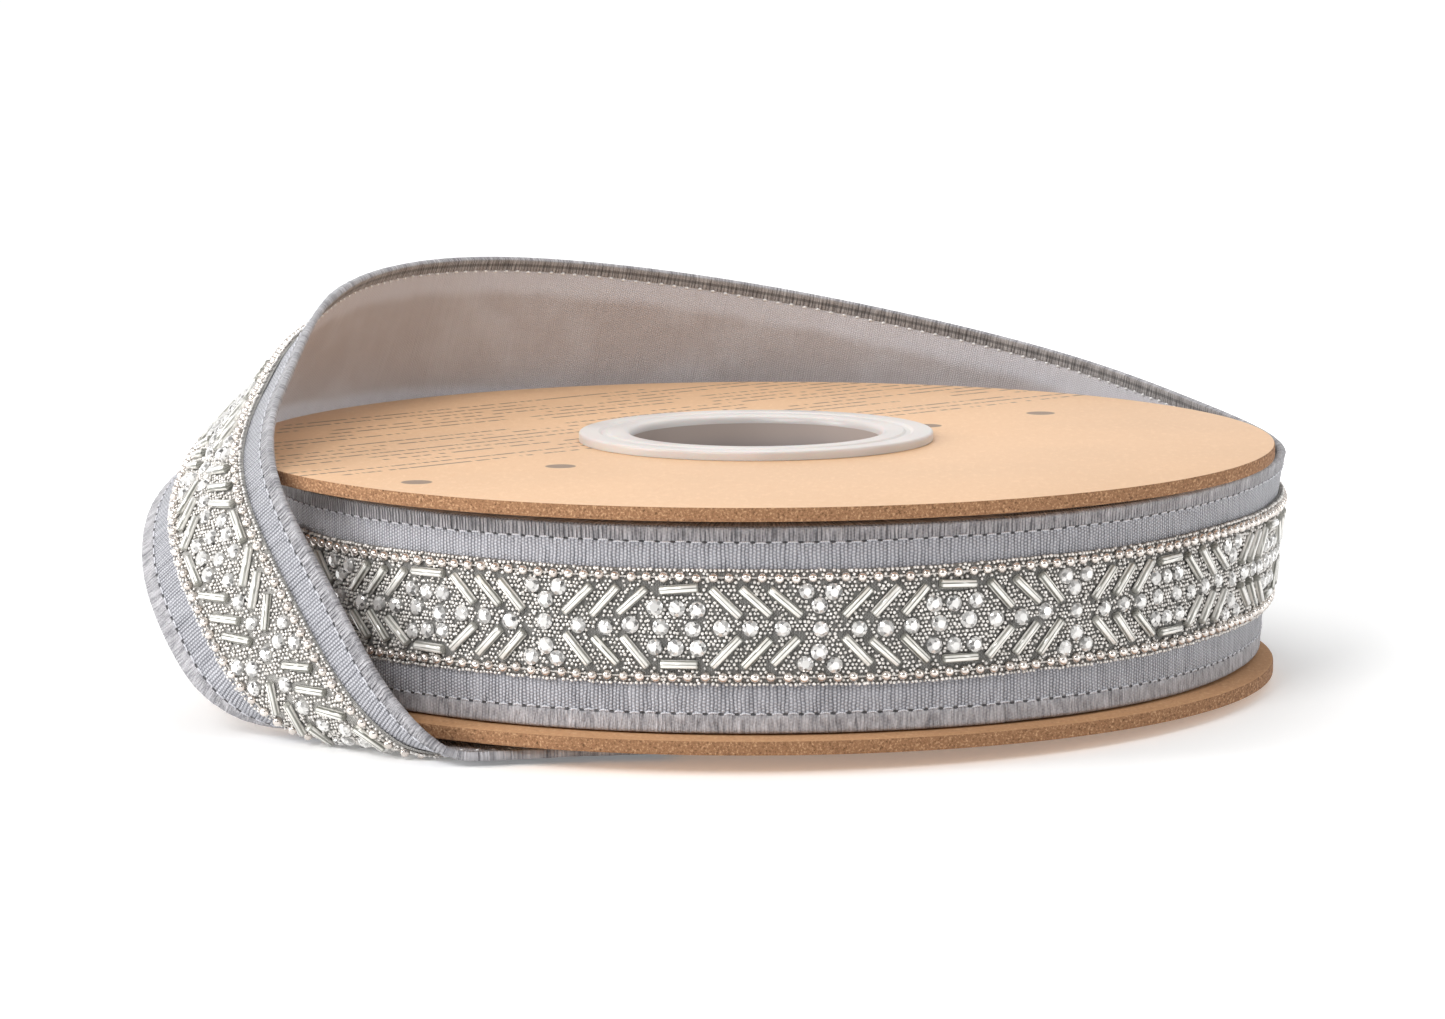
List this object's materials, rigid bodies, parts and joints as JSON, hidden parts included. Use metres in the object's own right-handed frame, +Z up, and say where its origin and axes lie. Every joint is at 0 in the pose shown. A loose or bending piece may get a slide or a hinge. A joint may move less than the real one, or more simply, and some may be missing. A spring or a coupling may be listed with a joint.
{
  "type": "wired ribbon on a spool",
  "caption": "Beaded wired ribbon wound on a flat chipboard spool with a plastic hub, its loose end looped round and tucked under the rim.",
  "frame": {"origin": "middle of the footprint, on the surface that the spool lies on", "axes": "+Z up, out of the top flange within about one degree; the picture looks along +Y from -Y"},
  "size_m": [0.2234, 0.2154, 0.0762],
  "materials": {
    "chipboard": "plain brown kraft board, matt, with a fibrous cut rim",
    "hub_plastic": "milky translucent moulded plastic, slightly glossy",
    "ribbon_cloth": "grey ribbed faux silk, soft sheen",
    "bead_trim": "silver-lined glass beads and clear faceted stones on a grey ground"
  },
  "bodies": {
    "root": {"flange_bottom": "chipboard", "flange_top": "chipboard", "hub_bottom": "hub_plastic", "hub_top": "hub_plastic", "ribbon_roll": "ribbon_cloth", "ribbon_tail": "ribbon_cloth", "trim_roll": "bead_trim", "trim_tail": "bead_trim"}
  },
  "joints": []
}
